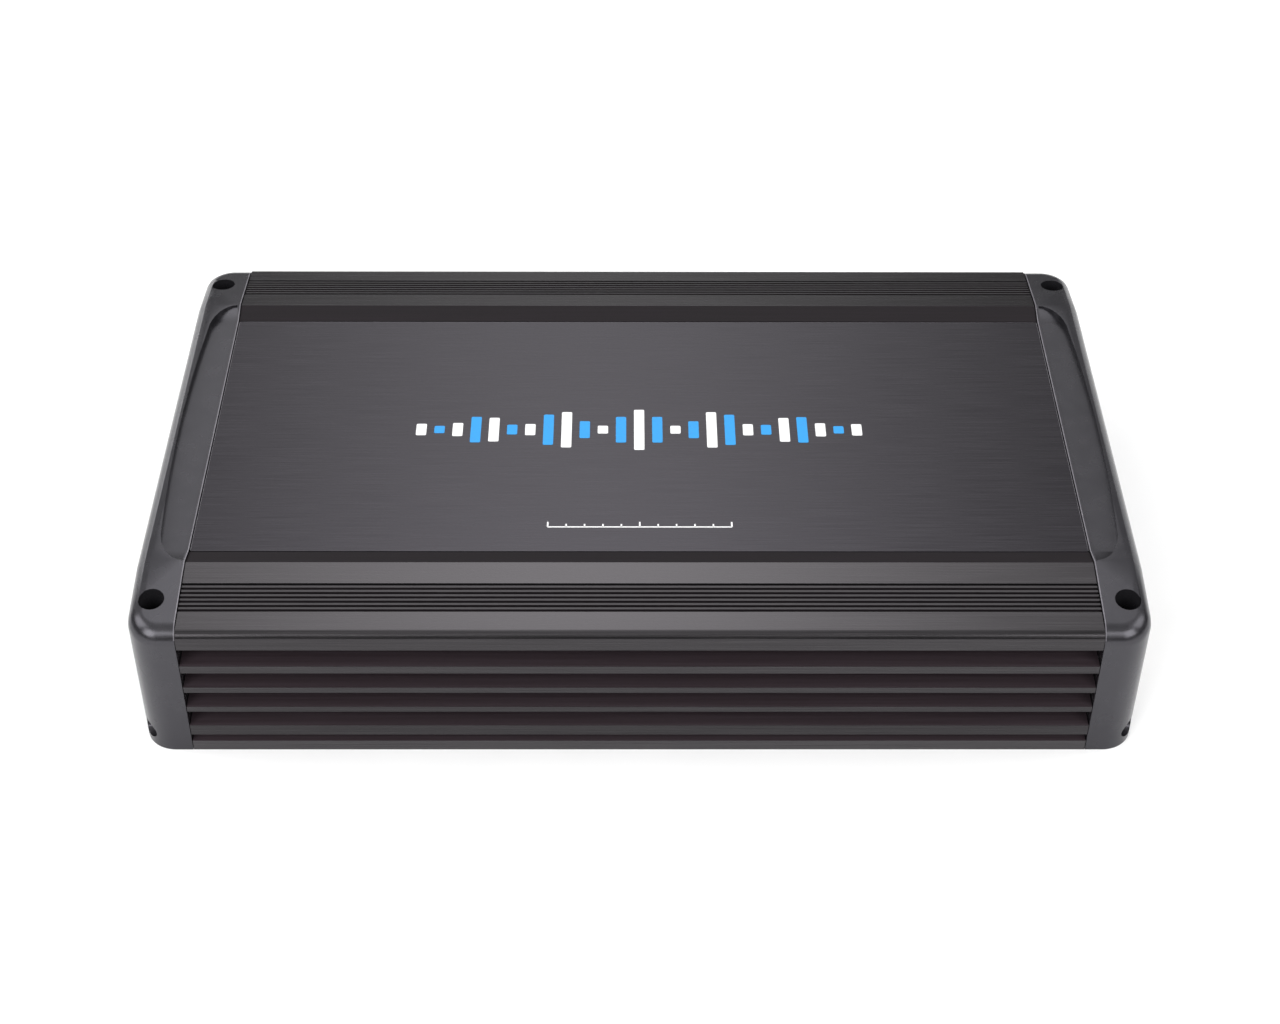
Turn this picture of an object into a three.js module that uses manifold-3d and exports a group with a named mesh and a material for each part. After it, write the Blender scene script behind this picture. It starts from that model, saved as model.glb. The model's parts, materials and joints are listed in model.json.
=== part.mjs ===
// Car audio amplifier: an extruded aluminium heatsink closed by two cast end caps.
// Millimetres. X runs along the body, -Y is the front, +Z is up, and the origin is the
// middle of the underside. Power and speaker terminals are at the -X end, signal at +X.

import * as THREE from 'three';
import { mergeVertices } from 'three/addons/utils/BufferGeometryUtils.js';
import Module from 'manifold-3d';

const wasm = await Module();
wasm.setup();

// ---------------------------------------------------------------- driving dimensions

// Casing
const BODY_LENGTH = 280; // heatsink, between the two end caps
const BODY_WIDTH = 190.8;
const CREST_HEIGHT = 53.8; // highest line of the two rails
const RAIL_WIDTH = 28.2; // crest to side face
const RAIL_DROP = 4.2; // crest to shoulder
const SHOULDER_ROUND = 3;
const RECESS_RUN = 7.2; // sloping wall between crest and panel
const RECESS_DEPTH = 1.9; // crest down to the panel's face
const PANEL_THICKNESS = 1.2;
const WEB_THICKNESS = 4; // metal under the panel
const SIDE_WALL = 4.4;
const FIN_DEPTH = 9;

// Slots along the front and rear, from the top down
const TOP_BAND = 6.1; // shoulder to first slot
const FIN_THICKNESSES = [3, 2.3, 2.2];
const TOP_SLOT_EXTRA = 0.7;
const BASE_BLOCK = 10.9; // solid foot of the side wall
const BASE_GROOVE_LOW = 4;
const BASE_GROOVE_HIGH = 6.8;
const BASE_GROOVE_DEPTH = 2.5;

// Fine grooves on the rails
const RAIL_GROOVES = 7;
const RAIL_GROOVE_START = 8.2; // from the crest
const RAIL_GROOVE_PITCH = 1.66;
const RAIL_GROOVE_WIDTH = 0.85;
const RAIL_GROOVE_DEPTH = 0.8;

// End caps
const CAP_DEPTH = 15.4;
const CAP_PROUD = 0.5; // cap above the rails
const CAP_CORNER = 10; // radius seen from above
const CAP_ROUND = 5; // top edge, all the way round
const CORNER_POST = 27.4; // cap metal beside the window
const WINDOW_FOOTROOM = 2.2; // window below what stands on the board
const WINDOW_HEADROOM = 2.8; // window above the tallest fitting
const WINDOW_CORNER = 4;
const LIP_WIDTH = 1;
const POCKET_REACH = 11.5; // widest, at the middle
const POCKET_END_REACH = 9.3;
const POCKET_END_RUN = 11.5; // length of each rounded end
const POCKET_END_GAP = 0.7; // pocket end to crest line

// Mounting holes
const MOUNT_INSET_X = 7.1;
const MOUNT_INSET_Y = 13.4;
const MOUNT_BORE = 8;
const MOUNT_HOLE = 6;
const MOUNT_FLOOR = 4.5;

// Sheet parts and clearances
const PLATE_THICKNESS = 1.5;
const PLATE_FOOT = 4; // end plate below the window
const PLATE_LAP = 2; // least end plate above the window
const PLATE_EXTRA = 9; // end plate beyond the window, each side
const COVER_THICKNESS = 1.2;
const COVER_RECESS = 1; // cover above the base
const BOARD_THICKNESS = 1.6;
const BOARD_HEIGHT = 8;
const LEDGE_WIDTH = 6.5;
const BOARD_RIB = 2;
const SEAT = 0.1; // between faces that rest on each other
const CLEAR = 0.3; // round a piece in its hole or recess

// Screws
const CAP_SCREW_SHANK = 3;
const CAP_SCREW_HEAD = 6;
const CAP_SCREW_LENGTH = 12;
const CAP_SCREW_SEAT = 6; // head seat from the heatsink's end
const CAP_SCREW_LOW = 5.4;
const CAP_SCREW_LOW_INSET = 5;
const CAP_SCREW_HIGH_DROP = 13.3; // below the crest
const CAP_SCREW_HIGH_OFFSET = 5.5; // outside the window's edge
const CAP_SCREW_EDGE = 4.5; // end plate above its screws
const COVER_SCREW_HEAD = 5.6;
const COVER_SCREW_SPREAD = 100;

// Terminals and fuses
const TERMINAL_PITCH = 15.5;
const TERMINAL_BARRIER = 2.2;
const TERMINAL_HEIGHT = 22;
const TERMINAL_BAY_DEPTH = 9;
const TERMINAL_SCREW_HEAD = 9;
const TERMINAL_SCREW_SHANK = 4;
const TERMINAL_SCREW_HEAD_HEIGHT = 3;
const TERMINAL_SCREW_LENGTH = 8;
const TERMINAL_SETBACK = 1.4; // block's face inside the cap's
const SOCKET_DEPTH = 14; // blocks and sockets, back from the heatsink's end
const POWER_POLES = 3;
const SPEAKER_POLES = 2;
const FUSES = 3;
const FUSE_PITCH = 9.5;
const FUSE_THICKNESS = 5;
const FUSE_HEIGHT = 19;
const FUSE_HEAD = 13;
const FUSE_BLADE = 7;
const FUSE_SEAT = 6;
const FUSE_HOLDER_EXTRA = 5; // holder taller than its fuses
const FUSE_HOLDER_PROUD = 4; // holder in front of the end plate
const FUSE_BLADE_INSET = 3.2; // fuse's edge to the middle of its blade
const FUSE_BLADE_WIDTH = 4.8;
const FUSE_BLADE_THICKNESS = 0.8;

// Signal end
const CONTROL_RISE = 11.3; // board to the centre line of knobs, switch and lamps
const KNOB_DIAMETER = 10;
const KNOB_LENGTH = 8;
const KNOB_SHAFT = 4;
const KNOB_FLUTES = 10;
const KNOB_GAP = 1; // knob to end plate
const POT_SIZE = 10;
const POT_FLOOR = 2; // behind the bore for the shaft
const LEG_WIDTH = 1;
const SWITCH_WIDTH = 12;
const SWITCH_HEIGHT = 8;
const SWITCH_NUB = 3;
const SWITCH_TRAVEL = 4;
const SWITCH_DEPTH = 9;
const SWITCH_SLOT_DEPTH = 5;
const SWITCH_PROUD = 5; // slider's tip in front of the end plate
const JACK_PITCH = 14;
const JACK_SLEEVE = 8.4;
const JACK_SLEEVE_WALL = 0.8;
const JACK_LENGTH = 9;
const JACK_MARGIN = 1; // block beyond the jacks' share of the pitch
const JACK_PIN_HOLE = 3.2;
const JACK_PROUD = 1.5; // block in front of the end plate
const LAMP_DIAMETER = 3;
const LAMP_SPACING = 7;
const LAMP_PROUD = 1.8; // tip in front of the end plate
const PORT_WIDTH = 12;
const PORT_HEIGHT = 13;
const PORT_MOUTH_WIDTH = 9.4;
const PORT_MOUTH_HEIGHT = 7;
const PORT_MOUTH_DEPTH = 10;
const PORT_PROUD = 1;

// Inside
const DEVICE_WIDTH = 16;
const DEVICE_HEADROOM = 2.8; // device to the screw port above it
const DEVICE_THICKNESS = 5;
const DEVICE_SPREAD = 45;
const DEVICE_LIFT = 4; // body above the board
const PAD_THICKNESS = 0.4;
const CLAMP_THICKNESS = 3;
const CLAMP_WIDTH = 10;
const CLAMP_OVERHANG = 20;
const CAN_DIAMETER = 25;
const CAN_HEADROOM = 4.9; // can to the underside of the web
const CAN_SPACING = 29;
const WINDING_GAP = 8; // cans to the wound rings
const BOARD_END_GAP = 3;
const TRANSFORMER_DIAMETER = 58;
const TRANSFORMER_HEIGHT = 27;
const TRANSFORMER_BORE = 20;
const INDUCTOR_DIAMETER = 36;
const INDUCTOR_HEIGHT = 19;
const INDUCTOR_BORE = 13;

// ---------------------------------------------------------------- derived sizes

const HALF_LENGTH = BODY_LENGTH / 2;
const HALF_WIDTH = BODY_WIDTH / 2;
const CREST_Y = HALF_WIDTH - RAIL_WIDTH;
const PANEL_HALF = CREST_Y - RECESS_RUN;
const SHOULDER_HEIGHT = CREST_HEIGHT - RAIL_DROP;
const RAIL_SLOPE = RAIL_DROP / RAIL_WIDTH;
const PANEL_TOP = CREST_HEIGHT - RECESS_DEPTH;
const WEB_TOP = PANEL_TOP - PANEL_THICKNESS - SEAT;
const WEB_UNDER = WEB_TOP - WEB_THICKNESS;
const WALL_INNER = HALF_WIDTH - FIN_DEPTH - SIDE_WALL;
const LEDGE_TOP = BOARD_HEIGHT - SEAT;
const COVER_TOP = COVER_RECESS + COVER_THICKNESS;
const CAP_OUTER = HALF_LENGTH + CAP_DEPTH;
const WINDOW_HALF = HALF_WIDTH - CORNER_POST;
const PLATE_INNER = HALF_LENGTH + SEAT;
const PLATE_OUTER = PLATE_INNER + PLATE_THICKNESS;
const PLATE_HALF = WINDOW_HALF + PLATE_EXTRA;
const BOARD_TOP = BOARD_HEIGHT + BOARD_THICKNESS;
const BOARD_HALF_LENGTH = HALF_LENGTH - BOARD_END_GAP;
const ON_BOARD = BOARD_TOP + SEAT;
const TERMINAL_TOP = ON_BOARD + TERMINAL_HEIGHT;
const FUSE_HOLDER_HEIGHT = FUSE_HEIGHT + FUSE_HOLDER_EXTRA;
const FUSE_HOLDER_TOP = ON_BOARD + FUSE_HOLDER_HEIGHT;
const CONTROL_HEIGHT = ON_BOARD + CONTROL_RISE;
const JACK_TOP = CONTROL_HEIGHT + JACK_PITCH / 2 + JACK_MARGIN;
const PORT_TOP = ON_BOARD + PORT_HEIGHT;
const WINDOW_LOW = ON_BOARD - WINDOW_FOOTROOM;
const WINDOW_HIGH = Math.max(TERMINAL_TOP, FUSE_HOLDER_TOP, JACK_TOP, PORT_TOP) + WINDOW_HEADROOM;
const CAN_HEIGHT = WEB_UNDER - ON_BOARD - CAN_HEADROOM;
const BEHIND_PLATE = PLATE_INNER - CLEAR;
const SOCKET_BACK = HALF_LENGTH - SOCKET_DEPTH;
const MOUNT_X = CAP_OUTER - MOUNT_INSET_X;
const MOUNT_Y = HALF_WIDTH - MOUNT_INSET_Y;
const CAP_SCREW_HIGH = CREST_HEIGHT - CAP_SCREW_HIGH_DROP;
const CAP_SCREW_SPOTS = [
  [HALF_WIDTH - CAP_SCREW_LOW_INSET, CAP_SCREW_LOW],
  [WINDOW_HALF + CAP_SCREW_HIGH_OFFSET, CAP_SCREW_HIGH],
];
const SCREW_PORT_UNDER = CAP_SCREW_HIGH - CAP_SCREW_SHANK;
const PLATE_LOW = WINDOW_LOW - PLATE_FOOT;
const PLATE_HIGH = Math.max(WINDOW_HIGH + PLATE_LAP, CAP_SCREW_HIGH + CAP_SCREW_EDGE);

// ---------------------------------------------------------------- materials

function finish(color, roughness, metalness) {
  return () => new THREE.MeshStandardMaterial({ color, roughness, metalness });
}

const anodised = finish(0x5a585b, 0.42, 0.7);
const brushedPlate = finish(0x545155, 0.38, 0.8);
const castCap = finish(0x5f5f62, 0.5, 0.3);
const blackSteel = finish(0x2b2a2c, 0.5, 0.4);
const zincSteel = finish(0xb9b9bd, 0.3, 1);
const blackPlastic = finish(0x1e1e20, 0.55, 0);
const goldPlate = finish(0xc9a24a, 0.28, 1);
const fibreBoard = finish(0x1f5a38, 0.6, 0);
const ferriteWinding = finish(0xa8612d, 0.35, 0.6);
const canSleeve = finish(0x23304a, 0.45, 0);
const deviceResin = finish(0x1a1a1c, 0.6, 0);
const greyPad = finish(0x9c9fa3, 0.8, 0);
const fuseAmber = finish(0xd98a2b, 0.3, 0);
const lampGreen = finish(0x3fae5a, 0.2, 0);
const lampRed = finish(0xc23a34, 0.2, 0);

// ---------------------------------------------------------------- solids

function toSolid(geometry) {
  const plain = geometry.clone();
  plain.deleteAttribute('normal');
  plain.deleteAttribute('uv');
  const merged = mergeVertices(plain, 1e-4);
  return new wasm.Manifold(new wasm.Mesh({
    numProp: 3,
    vertProperties: new Float32Array(merged.attributes.position.array),
    triVerts: new Uint32Array(merged.index.array),
  }));
}

function toGeometry(solid) {
  const mesh = solid.getMesh();
  const geometry = new THREE.BufferGeometry();
  geometry.setAttribute('position', new THREE.BufferAttribute(new Float32Array(mesh.vertProperties), 3));
  geometry.setIndex(new THREE.BufferAttribute(new Uint32Array(mesh.triVerts), 1));
  geometry.computeVertexNormals();
  return geometry;
}

function box(x0, x1, y0, y1, z0, z1) {
  const geometry = new THREE.BoxGeometry(x1 - x0, y1 - y0, z1 - z0);
  return geometry.translate((x0 + x1) / 2, (y0 + y1) / 2, (z0 + z1) / 2);
}

function boxSolid(...limits) {
  return toSolid(box(...limits));
}

// A cylinder along X, from x0 to x1.
function rodX(diameter, x0, x1, y, z, sides = 16) {
  const geometry = new THREE.CylinderGeometry(diameter / 2, diameter / 2, x1 - x0, sides);
  return geometry.rotateZ(-Math.PI / 2).translate((x0 + x1) / 2, y, z);
}

// A cylinder along Z, from z0 to z1.
function rodZ(diameter, z0, z1, x, y, sides = 20) {
  const geometry = new THREE.CylinderGeometry(diameter / 2, diameter / 2, z1 - z0, sides);
  return geometry.rotateX(Math.PI / 2).translate(x, y, (z0 + z1) / 2);
}

const SHAPE_TO_YZ = new THREE.Matrix4().makeBasis(
  new THREE.Vector3(0, 1, 0), new THREE.Vector3(0, 0, 1), new THREE.Vector3(1, 0, 0));

// A shape drawn in (y, z), swept along X from x0 to x1.
function sweepX(shape, x0, x1, curveSegments = 6) {
  const geometry = new THREE.ExtrudeGeometry(shape, { depth: x1 - x0, bevelEnabled: false, curveSegments });
  return geometry.applyMatrix4(SHAPE_TO_YZ).translate(x0, 0, 0);
}

// A shape drawn in (x, y), swept along Z from z0 to z1.
function sweepZ(shape, z0, z1, curveSegments = 6) {
  const geometry = new THREE.ExtrudeGeometry(shape, { depth: z1 - z0, bevelEnabled: false, curveSegments });
  return geometry.translate(0, 0, z0);
}

function roundedRectangle(halfWidth, low, high, radius) {
  const shape = new THREE.Shape();
  shape.moveTo(-halfWidth + radius, low);
  shape.absarc(halfWidth - radius, low + radius, radius, -Math.PI / 2, 0, false);
  shape.absarc(halfWidth - radius, high - radius, radius, 0, Math.PI / 2, false);
  shape.absarc(-halfWidth + radius, high - radius, radius, Math.PI / 2, Math.PI, false);
  shape.absarc(-halfWidth + radius, low + radius, radius, Math.PI, Math.PI * 1.5, false);
  return shape;
}

// A solid of revolution about X; the profile is a list of [x, radius].
function turnedX(profile, sides = 20) {
  const points = profile.map(([x, radius]) => new THREE.Vector2(radius, x));
  return new THREE.LatheGeometry(points, sides).rotateZ(-Math.PI / 2).rotateX(Math.PI);
}

function named(name, geometry, material) {
  const mesh = new THREE.Mesh(geometry, material());
  mesh.name = name;
  return mesh;
}

// ---------------------------------------------------------------- casing

// Height of the rails' upper surface at a distance from the middle line.
function railHeight(y) {
  return CREST_HEIGHT - RAIL_SLOPE * (y - CREST_Y);
}

// The four deep slots of a side wall, as [low, high], from the top down.
function sideSlots() {
  const finTotal = FIN_THICKNESSES.reduce((sum, fin) => sum + fin, 0);
  const slotCount = FIN_THICKNESSES.length + 1;
  const free = SHOULDER_HEIGHT - TOP_BAND - BASE_BLOCK - finTotal - TOP_SLOT_EXTRA;
  const slotHeight = free / slotCount;
  const slots = [];
  let high = SHOULDER_HEIGHT - TOP_BAND;
  for (let i = 0; i < slotCount; i++) {
    const low = high - slotHeight - (i === 0 ? TOP_SLOT_EXTRA : 0);
    slots.push([low, high]);
    high = low - (FIN_THICKNESSES[i] ?? 0);
  }
  return slots;
}

// One half of the extrusion's section, from the middle of the panel seat round to the
// middle of the web's underside.
function halfSection() {
  const points = [[0, WEB_TOP], [PANEL_HALF + CLEAR, WEB_TOP], [PANEL_HALF + CLEAR, PANEL_TOP]];
  points.push([CREST_Y, CREST_HEIGHT]);
  for (let i = 0; i < RAIL_GROOVES; i++) {
    const inner = CREST_Y + RAIL_GROOVE_START + i * RAIL_GROOVE_PITCH;
    const outer = inner + RAIL_GROOVE_WIDTH;
    points.push([inner, railHeight(inner)], [inner, railHeight(inner) - RAIL_GROOVE_DEPTH]);
    points.push([outer, railHeight(outer) - RAIL_GROOVE_DEPTH], [outer, railHeight(outer)]);
  }
  const tilt = Math.atan(RAIL_SLOPE);
  const centreY = HALF_WIDTH - SHOULDER_ROUND;
  const centreZ = railHeight(centreY) - SHOULDER_ROUND / Math.cos(tilt);
  const steps = 5;
  for (let i = 0; i <= steps; i++) {
    const angle = (Math.PI / 2 - tilt) * (1 - i / steps);
    points.push([
      centreY + SHOULDER_ROUND * Math.cos(angle),
      centreZ + SHOULDER_ROUND * Math.sin(angle),
    ]);
  }
  for (const [low, high] of sideSlots()) {
    points.push([HALF_WIDTH, high], [HALF_WIDTH - FIN_DEPTH, high]);
    points.push([HALF_WIDTH - FIN_DEPTH, low], [HALF_WIDTH, low]);
  }
  points.push([HALF_WIDTH, BASE_GROOVE_HIGH], [HALF_WIDTH - BASE_GROOVE_DEPTH, BASE_GROOVE_HIGH]);
  points.push([HALF_WIDTH - BASE_GROOVE_DEPTH, BASE_GROOVE_LOW], [HALF_WIDTH, BASE_GROOVE_LOW]);
  points.push([HALF_WIDTH, 0], [WALL_INNER, 0], [WALL_INNER, COVER_TOP + SEAT]);
  points.push([WALL_INNER - LEDGE_WIDTH, COVER_TOP + SEAT], [WALL_INNER - LEDGE_WIDTH, LEDGE_TOP]);
  points.push([WALL_INNER, LEDGE_TOP], [WALL_INNER, BOARD_TOP + SEAT]);
  points.push([WALL_INNER - BOARD_RIB, BOARD_TOP + SEAT], [WALL_INNER - BOARD_RIB, BOARD_TOP + BOARD_RIB]);
  points.push([WALL_INNER, BOARD_TOP + BOARD_RIB]);
  const portInner = CAP_SCREW_SPOTS[1][0] - CAP_SCREW_SHANK;
  points.push([WALL_INNER, SCREW_PORT_UNDER], [portInner, SCREW_PORT_UNDER]);
  points.push([portInner, WEB_UNDER], [0, WEB_UNDER]);
  return points;
}

function heatsinkGeometry() {
  const half = halfSection();
  const mirrored = half.slice(1, -1).reverse().map(([y, z]) => [-y, z]);
  const outline = [...half, ...mirrored].map(([y, z]) => new THREE.Vector2(y, z));
  let body = toSolid(sweepX(new THREE.Shape(outline), -HALF_LENGTH + SEAT * 2, HALF_LENGTH - SEAT * 2));
  const tapDepth = CAP_SCREW_LENGTH - CAP_SCREW_SEAT + 2;
  for (const end of [-1, 1]) {
    for (const side of [-1, 1]) {
      for (const [y, z] of CAP_SCREW_SPOTS) {
        const limits = [end * (HALF_LENGTH - tapDepth), end * (HALF_LENGTH + 1)].sort((a, b) => a - b);
        body = body.subtract(toSolid(rodX(CAP_SCREW_SHANK + 2 * CLEAR, ...limits, side * y, z, 12)));
      }
      const holeY = side * (WALL_INNER - LEDGE_WIDTH / 2);
      const hole = rodZ(CAP_SCREW_SHANK + 2 * CLEAR, 0, LEDGE_TOP - 1, end * COVER_SCREW_SPREAD, holeY, 12);
      body = body.subtract(toSolid(hole));
    }
  }
  return toGeometry(body);
}

function topPanelGeometry() {
  const halfLength = HALF_LENGTH - 2 * SEAT;
  const shape = roundedRectangle(halfLength, -PANEL_HALF, PANEL_HALF, 0.5);
  return sweepZ(shape, WEB_TOP + SEAT, PANEL_TOP, 2);
}

function bottomCoverGeometry() {
  const halfWidth = WALL_INNER - CLEAR;
  let cover = boxSolid(-HALF_LENGTH + 1, HALF_LENGTH - 1, -halfWidth, halfWidth, COVER_RECESS, COVER_TOP);
  for (const [x, y] of coverScrewSpots()) {
    cover = cover.subtract(toSolid(rodZ(CAP_SCREW_SHANK + 2 * CLEAR, 0, COVER_TOP + 1, x, y, 12)));
  }
  return toGeometry(cover);
}

function coverScrewSpots() {
  const y = WALL_INNER - LEDGE_WIDTH / 2;
  const spots = [];
  for (const end of [-1, 1]) {
    for (const side of [-1, 1]) spots.push([end * COVER_SCREW_SPREAD, side * y]);
  }
  return spots;
}

// ---------------------------------------------------------------- end caps (built at +X)

// Rounded block seen from above, with rounded top edges, before the rails' slope is put on.
function capBlank() {
  const inner = HALF_LENGTH - 2 * CAP_ROUND;
  const skirt = CREST_HEIGHT; // depth below the base, trimmed off later
  const cornerX = CAP_OUTER - CAP_CORNER;
  const cornerY = HALF_WIDTH - CAP_CORNER;
  const shape = new THREE.Shape();
  shape.moveTo(inner, -HALF_WIDTH);
  shape.lineTo(cornerX, -HALF_WIDTH);
  shape.absarc(cornerX, -cornerY, CAP_CORNER, -Math.PI / 2, 0, false);
  shape.absarc(cornerX, cornerY, CAP_CORNER, 0, Math.PI / 2, false);
  shape.lineTo(inner, HALF_WIDTH);
  const geometry = new THREE.ExtrudeGeometry(shape, {
    depth: CREST_HEIGHT + CAP_PROUD + skirt - CAP_ROUND,
    bevelThickness: CAP_ROUND,
    bevelSize: CAP_ROUND,
    bevelOffset: -CAP_ROUND,
    bevelSegments: 4,
    curveSegments: 8,
  });
  return geometry.translate(0, 0, -skirt);
}

// Lowers what lies outside the crest lines, so that its top follows the rails: the common
// part of the block and of two copies sheared down towards the front and the rear.
function slopeToRails(solid) {
  let sloped = solid;
  for (const side of [-1, 1]) {
    const mesh = solid.getMesh();
    for (let i = 0; i < mesh.vertProperties.length; i += 3) {
      mesh.vertProperties[i + 2] -= RAIL_SLOPE * (side * mesh.vertProperties[i + 1] - CREST_Y);
    }
    sloped = sloped.intersect(new wasm.Manifold(mesh));
  }
  return sloped;
}

// The space above the recess between the rails, from rise above its surface upwards.
function recessSpace(x0, x1, rise) {
  const shape = new THREE.Shape();
  shape.moveTo(-CREST_Y, CREST_HEIGHT + rise);
  shape.lineTo(-PANEL_HALF, PANEL_TOP + rise);
  shape.lineTo(PANEL_HALF, PANEL_TOP + rise);
  shape.lineTo(CREST_Y, CREST_HEIGHT + rise);
  shape.lineTo(CREST_Y, CREST_HEIGHT + 2 * CAP_ROUND);
  shape.lineTo(-CREST_Y, CREST_HEIGHT + 2 * CAP_ROUND);
  return toSolid(sweepX(shape, x0, x1));
}

// Outline of the scoop beside the panel: a gently bowed outer edge and rounded ends.
function pocketOutline() {
  const lip = HALF_LENGTH + LIP_WIDTH;
  const tip = CREST_Y - POCKET_END_GAP;
  const bend = tip - POCKET_END_RUN;
  const endX = HALF_LENGTH + POCKET_END_REACH;
  const bowX = HALF_LENGTH + 2 * POCKET_REACH - POCKET_END_REACH;
  const nearTip = lip + (endX - lip) * 0.45;
  const nearBend = endX - 0.9;
  const shape = new THREE.Shape();
  shape.moveTo(lip, -tip);
  shape.bezierCurveTo(nearTip, -tip, nearBend, -bend - POCKET_END_RUN * 0.6, endX, -bend);
  shape.quadraticCurveTo(bowX, 0, endX, bend);
  shape.bezierCurveTo(nearBend, bend + POCKET_END_RUN * 0.6, nearTip, tip, lip, tip);
  return shape;
}

function endCapGeometry() {
  const above = CREST_HEIGHT + 2 * CAP_ROUND;
  let cap = slopeToRails(toSolid(capBlank()));
  cap = cap.intersect(boxSolid(HALF_LENGTH, CAP_OUTER + 1, -BODY_WIDTH, BODY_WIDTH, 0, above));
  const lipEnd = HALF_LENGTH + LIP_WIDTH;
  cap = cap.subtract(recessSpace(HALF_LENGTH - 1, lipEnd, CAP_PROUD));
  const pocket = toSolid(sweepZ(pocketOutline(), PANEL_TOP - 1, above, 7));
  cap = cap.subtract(pocket.intersect(recessSpace(lipEnd, CAP_OUTER, 0)));

  const window = roundedRectangle(WINDOW_HALF, WINDOW_LOW, WINDOW_HIGH, WINDOW_CORNER);
  cap = cap.subtract(toSolid(sweepX(window, HALF_LENGTH - 1, CAP_OUTER + 1, 4)));
  cap = cap.subtract(boxSolid(
    HALF_LENGTH - 1, PLATE_OUTER + SEAT,
    -PLATE_HALF - CLEAR, PLATE_HALF + CLEAR,
    PLATE_LOW - CLEAR, PLATE_HIGH + CLEAR));

  for (const side of [-1, 1]) {
    const mountY = side * MOUNT_Y;
    cap = cap.subtract(toSolid(rodZ(MOUNT_BORE, MOUNT_FLOOR, above, MOUNT_X, mountY)));
    cap = cap.subtract(toSolid(rodZ(MOUNT_HOLE, -1, above, MOUNT_X, mountY)));
    for (const [y, z] of CAP_SCREW_SPOTS) {
      const seat = HALF_LENGTH + CAP_SCREW_SEAT - SEAT;
      const shankHole = rodX(CAP_SCREW_SHANK + 2 * CLEAR, HALF_LENGTH - 1, seat + 1, side * y, z, 12);
      const headHole = rodX(CAP_SCREW_HEAD + 2 * CLEAR, seat, CAP_OUTER + 1, side * y, z, 16);
      cap = cap.subtract(toSolid(shankHole)).subtract(toSolid(headHole));
    }
  }
  return toGeometry(cap);
}

// A pan-head screw along X: the head's underside is at x = 0 and the shank points to -X.
function screwGeometry(head, headHeight, shank, length, sides = 12) {
  const profile = [
    [-length, 0], [-length, shank / 2], [0, shank / 2], [0, head / 2],
    [headHeight * 0.55, head / 2], [headHeight, head / 2 - headHeight * 0.4], [headHeight, 0],
  ];
  let screw = toSolid(turnedX(profile, sides));
  const arm = head * 0.28;
  const slot = head * 0.07;
  const floor = headHeight * 0.45;
  screw = screw.subtract(boxSolid(floor, headHeight + 1, -arm, arm, -slot, slot));
  screw = screw.subtract(boxSolid(floor, headHeight + 1, -slot, slot, -arm, arm));
  return toGeometry(screw);
}

function addCapScrews(end, prefix) {
  const places = { lower: CAP_SCREW_SPOTS[0], upper: CAP_SCREW_SPOTS[1] };
  for (const [level, [y, z]] of Object.entries(places)) {
    for (const side of [-1, 1]) {
      const geometry = screwGeometry(CAP_SCREW_HEAD, 2.4, CAP_SCREW_SHANK, CAP_SCREW_LENGTH, 10);
      const screw = named(`${prefix}_cap_screw_${level}_${side < 0 ? 1 : 2}`, geometry, zincSteel);
      screw.position.set(HALF_LENGTH + CAP_SCREW_SEAT, side * y, z);
      end.add(screw);
    }
  }
}

// A plate behind the cap's window; each opening is a solid to cut out of it.
function endPlateGeometry(openings) {
  let plate = boxSolid(PLATE_INNER, PLATE_OUTER, -PLATE_HALF, PLATE_HALF, PLATE_LOW, PLATE_HIGH);
  for (const side of [-1, 1]) {
    const [y, z] = CAP_SCREW_SPOTS[1];
    const hole = rodX(CAP_SCREW_SHANK + 2 * CLEAR, PLATE_INNER - 1, PLATE_OUTER + 1, side * y, z, 12);
    plate = plate.subtract(toSolid(hole));
  }
  for (const opening of openings) plate = plate.subtract(opening);
  return toGeometry(plate);
}

function plateBox(y, z0, z1, width) {
  const half = width / 2 + CLEAR;
  return boxSolid(PLATE_INNER - 1, PLATE_OUTER + 1, y - half, y + half, z0 - CLEAR, z1 + CLEAR);
}

function plateHole(y, z, diameter) {
  return toSolid(rodX(diameter + 2 * CLEAR, PLATE_INNER - 1, PLATE_OUTER + 1, y, z, 12));
}

// Middles of pieces set side by side across the window, with equal gaps between them.
function spreadAcross(widths) {
  const total = widths.reduce((sum, width) => sum + width, 0);
  const gap = (2 * WINDOW_HALF - total) / (widths.length + 1);
  let edge = -WINDOW_HALF;
  return widths.map((width) => {
    const middle = edge + gap + width / 2;
    edge += gap + width;
    return middle;
  });
}

// ---------------------------------------------------------------- power end

const TERMINAL_FACE = CAP_OUTER - TERMINAL_SETBACK;
const TERMINAL_FLOOR = TERMINAL_FACE - TERMINAL_BAY_DEPTH;
const TERMINAL_CENTRE = ON_BOARD + TERMINAL_HEIGHT / 2;

function blockWidth(poles) {
  return poles * TERMINAL_PITCH + TERMINAL_BARRIER;
}

function poleOffsets(poles) {
  return Array.from({ length: poles }, (_, i) => (i - (poles - 1) / 2) * TERMINAL_PITCH);
}

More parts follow.
